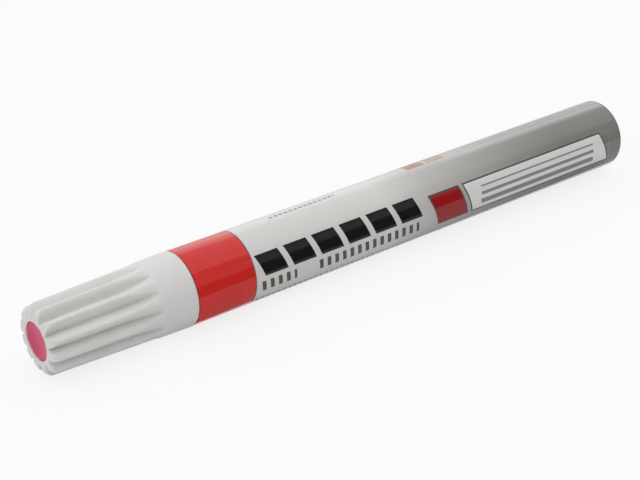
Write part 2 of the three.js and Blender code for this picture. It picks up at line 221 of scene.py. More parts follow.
@dataclass(frozen=True)
class Graph:
    """A node tree of a material, a world or a group, with short calls that add nodes."""

    tree: bpy.types.NodeTree

    def add(
        self, kind: str, inputs: dict[str | int, object] | None = None, **settings: object
    ) -> bpy.types.Node:
        """Adds a node.

        Args:
            kind: The node's type.
            inputs: What its inputs take, by their name or place.
            settings: Properties to set on it.

        Returns:
            The node.
        """
        node = self.tree.nodes.new(kind)
        for key, value in settings.items():
            setattr(node, key, value)
        for key, value in (inputs or {}).items():
            self.feed(node.inputs[key], value)
        return node

    @property
    def shader(self) -> bpy.types.Node:
        """The Principled shader that a new material has."""
        return self.tree.nodes["Principled BSDF"]

    def feed(self, socket: Socket, value: object) -> None:
        """Joins another socket to an input, or sets the input's value.

        Args:
            socket: The input.
            value: An output socket, a number or a colour.
        """
        if isinstance(value, Socket):
            self.tree.links.new(value, socket)
        else:
            socket.default_value = value

    def math(self, operation: Op, *values: object) -> Socket:
        """Works out one operation on one or two values."""
        inputs = dict(enumerate(values))
        return self.add("ShaderNodeMath", inputs, operation=operation.value).outputs[0]

    def mix(self, mask: object, under: object, over: object) -> Socket:
        """Lays one colour over another, where a mask of 0 shows the one under and 1 the one over."""
        inputs = {"Factor": mask, "A": under, "B": over}
        return self.add("ShaderNodeMix", inputs, data_type="RGBA").outputs["Result"]

    def ramp(self, value: object, stops: list[tuple[float, Colour]]) -> Socket:
        """Turns a value into a colour.

        Args:
            value: The input, from 0 to 1.
            stops: Places and colours.

        Returns:
            The colour.
        """
        node = self.add("ShaderNodeValToRGB", {0: value})
        elements = node.color_ramp.elements
        while len(elements) < len(stops):
            elements.new(0.5)
        for element, (place, colour) in zip(elements, stops):
            element.position = place
            element.color = (*colour, 1)
        return node.outputs[0]

    def span(self, value: object, low: float, high: float) -> Socket:
        """Maps a value so that low gives 0 and high gives 1, and holds it there outside."""
        inputs = {"Value": value, "From Min": low, "From Max": high}
        return self.add("ShaderNodeMapRange", inputs, clamp=True).outputs["Result"]

    def between(self, share: object, low: float, high: float) -> Socket:
        """Maps a share so that 0 gives low and 1 gives high."""
        inputs = {"Value": share, "To Min": low, "To Max": high}
        return self.add("ShaderNodeMapRange", inputs).outputs["Result"]

    def object_place(self) -> Socket:
        """Gives the place on the object."""
        return self.add("ShaderNodeTexCoord").outputs["Object"]

    def noise(self, place: object, scale: object, detail: object) -> Socket:
        """Gives smooth noise from 0 to 1, read at a place."""
        inputs = {"Vector": place, "Scale": scale, "Detail": detail}
        return self.add("ShaderNodeTexNoise", inputs).outputs["Fac"]


class EffectGroup:
    """A shader node group that several finishes place."""

    name = ""
    inputs: dict[str, float] = {}
    outputs: tuple[str, ...] = ()

    def __init__(self) -> None:
        """Builds the group's sockets and nodes."""
        self.tree = bpy.data.node_groups.new(self.name, "ShaderNodeTree")
        for label, value in self.inputs.items():
            self.socket(label, "INPUT").default_value = value
        for label in self.outputs:
            self.socket(label, "OUTPUT")
        self.graph = Graph(self.tree)
        self.given = self.graph.add("NodeGroupInput").outputs
        self.result = self.graph.add("NodeGroupOutput").inputs
        self.build()

    def socket(self, label: str, side: str) -> bpy.types.NodeTreeInterfaceSocket:
        """Adds a socket to the group, on its input or output side."""
        interface = self.tree.interface
        return interface.new_socket(name=label, in_out=side, socket_type="NodeSocketFloat")

    def build(self) -> None:
        """Adds the nodes between the group's inputs and outputs."""
        raise NotImplementedError

    @classmethod
    def place(cls, graph: Graph, **values: object) -> bpy.types.NodeOutputs:
        """Places the group in a material, with what its inputs take, and gives its outputs."""
        return graph.add("ShaderNodeGroup", values, node_tree=shared(cls).tree).outputs


@cache
def shared(kind: type[EffectGroup]) -> EffectGroup:
    """Gives the one group of its kind, built when it is first placed."""
    return kind()


class PenCoordinates(EffectGroup):
    """Station and radius in millimetres, and the angle round the pen in degrees."""

    name = "pen_coordinates"
    outputs = ("Station", "Around", "Radius")

    def build(self) -> None:
        """Works them out from Object coordinates."""
        graph = self.graph
        split = graph.add("ShaderNodeSeparateXYZ", {0: graph.object_place()}).outputs
        along = graph.math(Op.SUBTRACT, split["X"], AXIS.front)
        side = graph.math(Op.MULTIPLY, split["Y"], -1.0)
        up = graph.math(Op.SUBTRACT, split["Z"], AXIS.height)
        squares = [graph.math(Op.MULTIPLY, part, part) for part in (side, up)]
        reach = graph.math(Op.SQUARE_ROOT, graph.math(Op.ADD, *squares))
        turn = graph.math(Op.ARCTAN2, side, up)
        graph.feed(self.result["Station"], graph.math(Op.DIVIDE, along, MM))
        graph.feed(self.result["Around"], graph.math(Op.DEGREES, turn))
        graph.feed(self.result["Radius"], graph.math(Op.DIVIDE, reach, MM))


class PrintedBars(EffectGroup):
    """Mask of a row of leaning bars inside a window of the label."""

    name = "printed_bars"
    inputs = {
        "Station": 0.0, "Around": 0.0, "Start": 0.0, "End": 1.0, "Low": 0.0, "High": 1.0,
        "Pitch": 1000.0, "Share": 1.0, "Lean": 0.0,
    }
    outputs = ("Mask",)

    def build(self) -> None:
        """Multiplies the window's four edges by the bars inside it."""
        graph, given = self.graph, self.given
        middle = graph.math(Op.DIVIDE, graph.math(Op.ADD, given["Low"], given["High"]), 2.0)
        rise = graph.math(Op.SUBTRACT, given["Around"], middle)
        along = graph.math(Op.ADD, given["Station"], graph.math(Op.MULTIPLY, rise, given["Lean"]))
        into = graph.math(Op.SUBTRACT, along, given["Start"])
        steps = graph.math(Op.DIVIDE, into, given["Pitch"])
        mask = graph.math(Op.GREATER, along, given["Start"])
        for edge in (
            graph.math(Op.LESS, along, given["End"]),
            graph.math(Op.GREATER, given["Around"], given["Low"]),
            graph.math(Op.LESS, given["Around"], given["High"]),
            graph.math(Op.LESS, graph.math(Op.FRACT, steps), given["Share"]),
        ):
            mask = graph.math(Op.MULTIPLY, mask, edge)
        graph.feed(self.result["Mask"], mask)


class SurfaceGrain(EffectGroup):
    """Fine grain of a moulded, drawn or spun surface, as a height from 0 to 1."""

    name = "surface_grain"
    inputs = {"Scale": 1000.0, "Stretch": 1.0, "Detail": 2.0}
    outputs = ("Height",)

    def build(self) -> None:
        """Stretches noise along the pen."""
        graph, given = self.graph, self.given
        factors = graph.add("ShaderNodeCombineXYZ", {"X": given["Stretch"], "Y": 1.0, "Z": 1.0})
        stretched = graph.add(
            "ShaderNodeVectorMath", {0: graph.object_place(), 1: factors.outputs[0]},
            operation="MULTIPLY",
        )
        height = graph.noise(stretched.outputs[0], given["Scale"], given["Detail"])
        graph.feed(self.result["Height"], height)


class Handling(EffectGroup):
    """Mask of soft smudges and fine scratches from handling."""

    name = "handling"
    inputs = {"Smudges": 0.5, "Scratches": 0.5}
    outputs = ("Mask",)
    smudge_scale = 130.0  # Smudges in a metre
    smudge_range = (0.48, 0.72)  # Noise where a smudge starts, and where it is full
    scratch_turn = (0.3, 0.9, 0.2)  # How the scratches are turned, in radians
    scratch_scale = (60.0, 60.0, 3200.0)  # Waves in a metre along and across them
    scratch_range = (0.70, 0.76)  # Noise where a scratch starts, and where it is full

    def build(self) -> None:
        """Adds blurred patches to thin lines that run round the pen."""
        graph, given, place = self.graph, self.given, self.graph.object_place()
        patches = graph.noise(place, self.smudge_scale, PATCH_DETAIL)
        turned = graph.add(
            "ShaderNodeMapping",
            {"Vector": place, "Rotation": self.scratch_turn, "Scale": self.scratch_scale},
        )
        lines = graph.noise(turned.outputs[0], 1.0, 1.0)
        smudge = graph.span(patches, *self.smudge_range)
        scratch = graph.span(lines, *self.scratch_range)
        both = graph.math(
            Op.ADD,
            graph.math(Op.MULTIPLY, smudge, given["Smudges"]),
            graph.math(Op.MULTIPLY, scratch, given["Scratches"]),
        )
        graph.feed(self.result["Mask"], graph.math(Op.MINIMUM, both, 1.0))


@dataclass(frozen=True)
class Finish:
    """A plain finish: one colour that varies a little, with grain and handling marks."""

    name: str
    colour: Colour  # Linear base colour
    shade: Colour  # Colour of the darker patches
    roughness: Pair  # Lowest and highest roughness
    metallic: float = 0.0  # 1 for bare metal, 0 for plastic
    grain_scale: float = 3000.0  # Grains in a metre
    grain_stretch: float = 1.0  # Below 1, the grain runs along the pen, and above 1 round it
    grain_depth: float = 0.01  # Depth of the grain in millimetres
    ior: float = 1.48  # Index of refraction
    patch_scale: float = 240.0  # Patches in a metre
    patch_range: Pair = (0.35, 0.70)  # Noise that gives the shade, and the colour

    def base(self, graph: Graph) -> Socket:
        """Works out the base colour.

        Args:
            graph: The material's graph.

        Returns:
            The colour.
        """
        patches = SurfaceGrain.place(graph, Scale=self.patch_scale, Detail=PATCH_DETAIL)
        mask = graph.span(patches["Height"], *self.patch_range)
        return graph.mix(mask, (*self.shade, 1), (*self.colour, 1))

    def make(self) -> bpy.types.Material:
        """Builds the material.

        Returns:
            The material.
        """
        material = bpy.data.materials.new(self.name)
        material.use_nodes = True
        graph = Graph(material.node_tree)
        grain = SurfaceGrain.place(graph, Scale=self.grain_scale, Stretch=self.grain_stretch)
        bump = graph.add("ShaderNodeBump", {
            "Height": grain["Height"], "Distance": self.grain_depth * MM, "Strength": 1.0,
        })
        marks = Handling.place(graph)["Mask"]
        for label, value in {
            "Metallic": self.metallic,
            "IOR": self.ior,
            "Base Color": self.base(graph),
            "Roughness": graph.between(marks, *self.roughness),
            "Normal": bump.outputs["Normal"],
        }.items():
            graph.feed(graph.shader.inputs[label], value)
        return material


@dataclass(frozen=True)
class DrawnTube(Finish):
    """Drawn aluminium with a coat of the label's grey over its rear rim."""

    coat: Colour = (0.220, 0.210, 0.197)  # Linear colour of the coat
    coat_from: float = 141.5  # Station where it starts, in millimetres
    coat_over: float = 5.9  # Radius outside which it lies, in millimetres

    def base(self, graph: Graph) -> Socket:
        """Lays the coat over the metal, and makes it plain plastic there.

        Args:
            graph: The material's graph.

        Returns:
            The colour.
        """
        place = PenCoordinates.place(graph)
        behind = graph.math(Op.GREATER, place["Station"], self.coat_from)
        outside = graph.math(Op.GREATER, place["Radius"], self.coat_over)
        coated = graph.math(Op.MULTIPLY, behind, outside)
        graph.feed(graph.shader.inputs["Metallic"], graph.math(Op.SUBTRACT, 1.0, coated))
        return graph.mix(coated, super().base(graph), (*self.coat, 1))


@dataclass(frozen=True)
class Window:
    """A window of the label that holds a row of printed bars, in millimetres and degrees."""

    start: float  # First station
    end: float
    low: float  # First angle round the pen
    high: float
    ink: Colour  # Linear colour
    pitch: float = 1000.0  # From one bar to the next
    share: float = 1.0  # Share of the pitch that a bar takes
    lean: float = 0.0  # Along the pen for each degree round it


BLACK_INK = (0.011, 0.010, 0.009)
GREY_INK = (0.085, 0.080, 0.076)
FAINT_INK = (0.240, 0.235, 0.230)
WHITE_INK = (0.760, 0.752, 0.738)
RED_INK = (0.330, 0.010, 0.012)
RUST_INK = (0.330, 0.130, 0.090)
SAND_INK = (0.400, 0.260, 0.190)
SEAM_INK = (0.220, 0.140, 0.150)


@dataclass(frozen=True)
class LabelFilm(Finish):
    """Printed film: its colour turns to its shade along the pen, under plain bars and blocks."""

    fade_from: float = 76.0  # Station up to which the film has its colour, in millimetres
    fade: tuple[tuple[float, Colour], ...] = (  # Stations on the way, and the colour at each
        (87.5, (0.500, 0.491, 0.477)),
        (100.0, (0.392, 0.382, 0.368)),
        (112.0, (0.294, 0.285, 0.271)),
        (125.0, (0.226, 0.217, 0.204)),
    )
    fade_to: float = 142.0  # Station from which it has its shade
    outline: float = 0.35  # Width of the lines round the blocks, in millimetres
    slant: float = -0.045  # Millimetres along the pen for each degree round it, of what leans
    block_low: float = 58.0  # Angle round the pen where the blocks start, in degrees
    block_high: float = 108.0  # Angle where they end

    def block(self, start: float, end: float, ink: Colour) -> list[Window]:
        """Gives a leaning block with a thin line round it.

        Args:
            start: First station in millimetres.
            end: Last station.
            ink: The block's colour.

        Returns:
            The line's window and the block's.
        """
        low, high, edge = self.block_low, self.block_high, self.outline
        turn = math.degrees(edge / Span.of("printed_label").radius)
        return [
            Window(start - edge, end + edge, low - turn, high + turn, GREY_INK, lean=self.slant),
            Window(start, end, low, high, ink, lean=self.slant),
        ]

    def windows(self) -> list[Window]:
        """Lays out the print.

        Returns:
            Its windows, the lowest layer first.
        """
        slant = self.slant
        lines = ((69.0, 71.5), (79.5, 85.0), (92.0, 100.5))
        numbers = ((44.4, 52.6), (58.1, 83.5))
        ticks = ((52.0, 68.0), (107.0, 126.0))
        low, high = self.block_low, self.block_high
        swatches = ((86.6, 91.3, RUST_INK), (92.0, 96.7, SAND_INK))
        return [
            *self.block(88.0, 95.6, RED_INK),
            *self.block(97.2, 137.0, WHITE_INK),
            *(Window(100.5, 133.5, *turns, FAINT_INK, lean=slant) for turns in lines),
            Window(44.4, 84.2, 49.0, 83.0, BLACK_INK, pitch=6.75, share=0.80, lean=slant),
            *(Window(*ends, 90.5, high, GREY_INK, 1.9, 0.48, -0.02) for ends in numbers),
            Window(43.5, 136.0, 125.0, 131.0, GREY_INK, pitch=1.3, share=0.72),
            *(Window(*ends, -11.0, -5.0, FAINT_INK, pitch=1.2, share=0.7) for ends in ticks),
            *(Window(start, end, -29.0, -3.0, ink) for start, end, ink in swatches),
            Window(138.3, 138.75, low, high, FAINT_INK),
            Window(42.0, 43.05, -180.0, 180.0, SEAM_INK),
        ]

    def base(self, graph: Graph) -> Socket:
        """Prints the windows over the fading film.

        Args:
            graph: The material's graph.

        Returns:
            The colour.
        """
        place = PenCoordinates.place(graph)
        first, last = self.fade_from, self.fade_to
        stops = [(first, self.colour), *self.fade, (last, self.shade)]
        along = graph.span(place["Station"], first, last)
        colour = graph.ramp(along, [((at - first) / (last - first), tone) for at, tone in stops])
        for window in self.windows():
            mask = PrintedBars.place(
                graph, Station=place["Station"], Around=place["Around"], Start=window.start,
                End=window.end, Low=window.low, High=window.high, Pitch=window.pitch,
                Share=window.share, Lean=window.lean,
            )["Mask"]
            colour = graph.mix(mask, colour, (*window.ink, 1))
        return colour


CAP_PLASTIC = Finish(
    "cap_plastic", (0.725, 0.715, 0.700), (0.698, 0.688, 0.672), (0.50, 0.60),
    grain_scale=4200.0, grain_depth=0.03,
)
DISC_PLASTIC = Finish(
    "disc_plastic", (0.600, 0.016, 0.110), (0.560, 0.014, 0.098), (0.34, 0.44),
    grain_scale=2600.0, grain_depth=0.012, ior=1.42,
)
LINER_PLASTIC = Finish(
    "liner_plastic", (0.760, 0.750, 0.710), (0.720, 0.710, 0.670), (0.40, 0.52),
)
FRONT_PLASTIC = Finish(
    "front_plastic", (0.720, 0.712, 0.690), (0.690, 0.682, 0.660), (0.30, 0.42),
    grain_depth=0.006,
)
VALVE_PLASTIC = Finish(
    "valve_plastic", (0.640, 0.635, 0.610), (0.600, 0.595, 0.570), (0.36, 0.48),
)
NIB_FIBRE = Finish(
    "nib_fibre", (0.430, 0.012, 0.018), (0.250, 0.006, 0.010), (0.86, 0.96),
    grain_scale=5200.0, grain_stretch=0.08, grain_depth=0.12, ior=1.4,
)
SEAL_RUBBER = Finish(
    "seal_rubber", (0.020, 0.020, 0.021), (0.030, 0.030, 0.031), (0.62, 0.80),
    grain_scale=5200.0, grain_depth=0.02,
)
SPRING_STEEL = Finish(
    "spring_steel", (0.560, 0.565, 0.570), (0.470, 0.475, 0.480), (0.24, 0.40), metallic=1.0,
    grain_stretch=0.3, grain_depth=0.004,
)
BALL_STEEL = Finish(
    "ball_steel", (0.640, 0.645, 0.650), (0.600, 0.605, 0.610), (0.10, 0.22), metallic=1.0,
    grain_depth=0.001,
)
TUBE_ALUMINIUM = DrawnTube(
    "tube_aluminium", (0.740, 0.738, 0.730), (0.690, 0.688, 0.680), (0.26, 0.38),
    grain_scale=500.0, grain_stretch=14.0, grain_depth=0.004,
)
BAND_FILM = Finish(
    "band_film", (0.650, 0.024, 0.020), (0.620, 0.020, 0.017), (0.08, 0.15),
    grain_scale=900.0, grain_depth=0.004, ior=1.46, patch_scale=700.0, patch_range=(0.30, 0.70),
)
LABEL_FILM = LabelFilm(
    "label_film", (0.665, 0.655, 0.638), (0.220, 0.210, 0.197), (0.10, 0.18),
    grain_scale=900.0, grain_depth=0.004, ior=1.46,
)


def put(name: str, data: bpy.types.ID) -> bpy.types.Object:
    """Puts a mesh, a lamp or a camera in the scene.

    Args:
        name: The new object's name.
        data: What it shows.

    Returns:
        The object.
    """
    thing = bpy.data.objects.new(name, data)
    bpy.context.scene.collection.objects.link(thing)
    return thing


class Assembly:
    """What the pen's sub-assemblies share."""

    def add(
        self, name: str, mesh: Mesh, finish: Finish, body: Body | None, node: str
    ) -> bpy.types.Object:
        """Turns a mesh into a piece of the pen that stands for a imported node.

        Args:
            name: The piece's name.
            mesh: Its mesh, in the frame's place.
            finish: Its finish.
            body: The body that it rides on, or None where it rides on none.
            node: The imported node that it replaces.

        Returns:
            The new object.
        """
        for face in mesh.faces:
            face.smooth = True
        for edge in mesh.edges:
            edge.smooth = len(edge.link_faces) == 2 and edge.calc_face_angle(0.0) < SHARP_ANGLE
        data = bpy.data.meshes.new(name)
        mesh.to_mesh(data)
        mesh.free()
        data.materials.append(finish.make())
        piece = put(name, data)
        if body is not None:
            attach(piece, body.value)
        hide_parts(node)
        LOG.info("%s: %d faces, for %s", name, len(data.polygons), node)
        return piece


@dataclass(frozen=True)
class Flutes:
    """The flutes round the cap: grooves that are deepest at its front, between round ribs.

    Lengths are in millimetres, stations too.
    """

    count: int = 12
    steps: int = 32  # Facets across a groove and its rib
    turn: float = 22.5  # Degrees from the top to the middle of a groove
    depth: float = 1.85
    front_depth: float = 0.45  # What the front adds to the depth
    front_length: float = 9.0  # Length over which that fades
    fullness: float = 1.65  # Power that shapes a rib. The higher it is, the rounder is its top.
    valley: float = 0.11  # Share of half a pitch over which a groove's bottom is round
    end: float = 22.4  # Station where the grooves have faded out
    runout: float = 8.4  # Length over which they fade
    softness: float = 0.20  # Round where a groove meets the skirt
    soft_rise: float = 3.0  # How fast that round grows along the runout
    basin: float = 0.36  # Depth of the wide basin that a groove fades into
    basin_end: float = 23.1  # Station where the skirt starts
    basin_slope: float = 1.0  # Length over which the basin rises to the skirt

    def cut(self, station: float, around: float) -> float:
        """Gives how far the grooves go in at a place.

        Args:
            station: Millimetres from the cap's front.
            around: Degrees round the axis.

        Returns:
            The depth in millimetres.
        """
        left = min(max((self.end - station) / self.runout, 0.0), 1.0)
        sunk = math.sqrt(1 - (1 - left) ** 2)
        pitch = 360.0 / self.count
        away = (around - self.turn + pitch / 2) % pitch - pitch / 2
        share = (math.hypot(2 * away / pitch, self.valley) - self.valley) / (
            math.hypot(1, self.valley) - self.valley
        )
        ahead = max(1 - station / self.front_length, 0.0)
        depth = self.depth + self.front_depth * ahead**2
        raw = depth * (max(1 - share, 0.0) ** self.fullness - (1 - sunk))
        soft = self.softness * min(1.0, self.soft_rise * left) * (1 - left)
        groove = (raw + math.hypot(raw, soft)) / 2
        rise = eased(min(max((self.basin_end - station) / self.basin_slope, 0.0), 1.0))
        wave = (1 + math.cos(2 * math.pi * away / pitch)) / 2
        return math.hypot(groove, self.basin * rise * wave)


@dataclass
class Cap(Assembly):
    """The cap: fluted shell, colour disc and inner seal. All sizes are in millimetres."""

    shell: Span = measured("cap_shell")
    disc: Span = measured("cap_disc")
    liner: Span = measured("cap_liner")
    flutes: Flutes = Flutes()
    shell_grid: float = 0.45  # Longest edge of the shell's mesh
    front_radius: float = 6.85  # Radius that the shell's cone has at its front
    front_round: float = 1.6  # Round of the shell's front edge
    recess_round: float = 0.08  # Round of the edge of the disc's recess
    mouth_round: float = 0.3
    mouth_bore: float = 6.62  # Radius of the bore that fits the collar
    mouth_bore_from: float = 22.72  # Station where that bore starts
    seal_bore: float = 4.85  # Radius of the bore round the inner seal's lip
    seal_bore_from: float = 12.85  # Station where that bore starts
    pocket_bore: float = 3.8  # Radius of the bore round the inner seal's pocket
    pocket_bore_to: float = 11.8  # Station where that bore starts to widen
    end_wall: Pair = (1.5, 2.5)  # Stations where the wall behind the disc starts and ends
    disc_gap: float = 0.05  # Clearance round the disc and its peg
    disc_thickness: float = 1.2
    disc_edge: float = 0.2  # Round of its edge
    disc_dish: float = 0.35  # How far the disc's face is sunk at its middle
    disc_rings: int = 8  # Rings that form the sunk face
    disc_grid: float = 0.6  # Longest edge of the disc's mesh
    peg_radius: float = 1.1  # Radius of the peg behind the disc
    liner_wall: float = 0.65  # Wall of the inner seal
    liner_floor: float = 0.8  # Thickness of its floor
    liner_round: float = 0.3  # Round of its closed end
    liner_pocket: float = 3.1  # Radius inside its pocket
    pocket_round: float = 0.4  # Round at the bottom of the pocket
    liner_widening: Pair = (11.85, 12.12)  # Stations where it widens, outside and inside

    def cone(self, station: float) -> float:
        """Gives the shell's outer radius without its flutes."""
        share = (station - self.shell.start) / (self.shell.end - self.shell.start)
        return self.front_radius + share * (self.shell.radius - self.front_radius)

    def press_flutes(self, mesh: Mesh) -> None:
        """Presses the grooves into the spun shell.

        Args:
            mesh: The shell, which is changed.
        """
        for vert in mesh.verts:
            station, radius = AXIS.station(vert.co.x), AXIS.radius(vert.co)
            if station > self.flutes.basin_end or radius < self.seal_bore:
                continue
            reach = self.cone(station) - self.flutes.cut(station, AXIS.around(vert.co))
            if radius > reach:
                vert.co.y *= reach / radius
                vert.co.z = AXIS.height + (vert.co.z - AXIS.height) * reach / radius

    def build_shell(self) -> None:
        """Makes the shell with its bores, its recess for the disc and its flutes."""
        start, end = self.shell.start, self.shell.end
        recess = self.disc.radius + self.disc_gap
        peg_hole = self.peg_radius + self.disc_gap
        seat, floor = self.end_wall
        mesh = Lathe(self.flutes.count * self.flutes.steps, self.shell_grid).spin([
            (start, recess, self.recess_round),
            (start, self.front_radius, self.front_round),
            (end, self.shell.radius, self.mouth_round),
            (end, self.mouth_bore, SOFT_ROUND),
            (self.mouth_bore_from, self.mouth_bore, FINE_ROUND),
            (self.mouth_bore_from, self.seal_bore, FINE_ROUND),
            (self.seal_bore_from, self.seal_bore, FINE_ROUND),
            (self.pocket_bore_to, self.pocket_bore, FINE_ROUND),
            (floor, self.pocket_bore),
            (floor, peg_hole),
            (seat, peg_hole),
            (seat, recess),
        ])
        self.press_flutes(mesh)
        self.add("cap_shell_fluted", mesh, CAP_PLASTIC, Body.CAP, "cap_shell")

    def build_disc(self) -> None:
        """Makes the colour disc with its peg."""
        face, radius = self.disc.start, self.disc.radius
        back, flat = face + self.disc_thickness, radius - 2 * self.disc_edge
        rings = [step / self.disc_rings for step in range(self.disc_rings + 1)]
        mesh = Lathe(INNER_STEPS, self.disc_grid).spin([
            *((face + self.disc_dish * (1 - ring**2), flat * ring) for ring in rings),
            (face, radius, self.disc_edge),
            (back, radius),
            (back, self.peg_radius),
            (self.disc.end, self.peg_radius),
            (self.disc.end, 0.0),
        ])
        self.add("cap_disc_plug", mesh, DISC_PLASTIC, Body.CAP, "cap_disc")

    def build_liner(self) -> None:
        """Makes the inner seal."""
        start, end, lip = self.liner.start, self.liner.end, self.liner.radius
        outside, inside = self.liner_widening
        pocket, wall = self.liner_pocket, self.liner_wall
        rise = lip - pocket - wall
        mesh = Lathe(INNER_STEPS).spin([
            (start, 0.0),
            (start, pocket + wall, self.liner_round),
            (outside, pocket + wall, SOFT_ROUND),
            (outside + rise, lip, SOFT_ROUND),
            (end, lip, SOFT_ROUND),
            (end, lip - wall, SOFT_ROUND),
            (inside + rise, lip - wall, SOFT_ROUND),
            (inside, pocket, SOFT_ROUND),
            (start + self.liner_floor, pocket, self.pocket_round),
            (start + self.liner_floor, 0.0),
        ])
        self.add("cap_inner_seal", mesh, LINER_PLASTIC, Body.CAP, "cap_liner")

    def build(self) -> None:
        """Makes all three pieces."""
        self.build_shell()
        self.build_disc()
        self.build_liner()


@dataclass
class Barrel(Assembly):
    """The barrel: tube, colour band and printed label. All sizes are in millimetres."""

    tube: Span = measured("barrel_tube")
    band: Span = measured("colour_band")
    label: Span = measured("printed_label")
    film: float = 0.15
    film_edge: float = 0.05
    film_seat: float = 0.03  # From the tube to the film over it
    band_reach: float = 0.14  # How far the band comes forward over the bare tube
    label_reach: float = 0.05  # How far the label comes forward to the band
    wall: float = 0.45
    lip_radius: float = 6.45  # Radius inside the rolled front lip
    lip_length: float = 0.8
    lip_round: float = 0.2  # Round of the lip's front edge
    lip_inner_round: float = 0.15  # Round of the edge inside it
    bead: float = 0.5  # Length of the full-radius bead behind the label
    bead_edge: float = 0.03  # Round of its front edge
    bead_round: float = 0.45  # Round of its rear edge
    rim: float = 1.1  # Width of the flat ring round the dished end
    rim_round: float = 0.25  # Round of the ring's inner edge
    dish: float = 0.7
    dish_round: float = 0.5  # Round at the dish's floor
    floor: float = 0.9  # Thickness of the tube's end
    floor_round: float = 1.6  # Round inside the tube's end

    def build_film(self, name: str, span: Span, reach: float, film: Finish, node: str) -> None:
        """Makes one film that is wrapped round the tube.

        Args:
            name: The piece's name.
            span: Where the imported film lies.
            reach: How far in front of that it starts.
            film: Its finish.
            node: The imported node.
        """
        start, inner = span.start - reach, span.radius - self.film
        mesh = Lathe().spin([
            (start, inner),
            (start, span.radius, self.film_edge),
            (span.end, span.radius, self.film_edge),
            (span.end, inner),
        ])
        self.add(name, mesh, film, Body.BARREL, node)

    def build_tube(self) -> None:
        """Makes the tube with its rolled lip, bead and dished end."""
        start, end, outer = self.tube.start, self.tube.end, self.tube.radius
        under = outer - self.film - self.film_seat
        bore = under - self.wall
        dish = outer - self.bead_round - self.rim
        floor = end - self.dish - self.floor
        mesh = Lathe().spin([
            (end - self.dish, 0.0),
            (end - self.dish, dish - self.dish, self.dish_round),
            (end, dish, self.rim_round),
            (end, outer, self.bead_round),
            (end - self.bead, outer, self.bead_edge),
            (end - self.bead, under),
            (start, under, self.lip_round),
            (start, self.lip_radius, self.lip_inner_round),
            (start + self.lip_length, self.lip_radius),
            (start + self.lip_length, bore),
            (floor, bore, self.floor_round),
            (floor, 0.0),
        ])
        self.add("barrel_tube_drawn", mesh, TUBE_ALUMINIUM, Body.BARREL, "barrel_tube")

    def build(self) -> None:
        """Makes all three pieces."""
        self.build_tube()
        for name, span, reach, film, node in (
            ("colour_band_film", self.band, self.band_reach, BAND_FILM, "colour_band"),
            ("label_film_wrap", self.label, self.label_reach, LABEL_FILM, "printed_label"),
        ):
            self.build_film(name, span, reach, film, node)


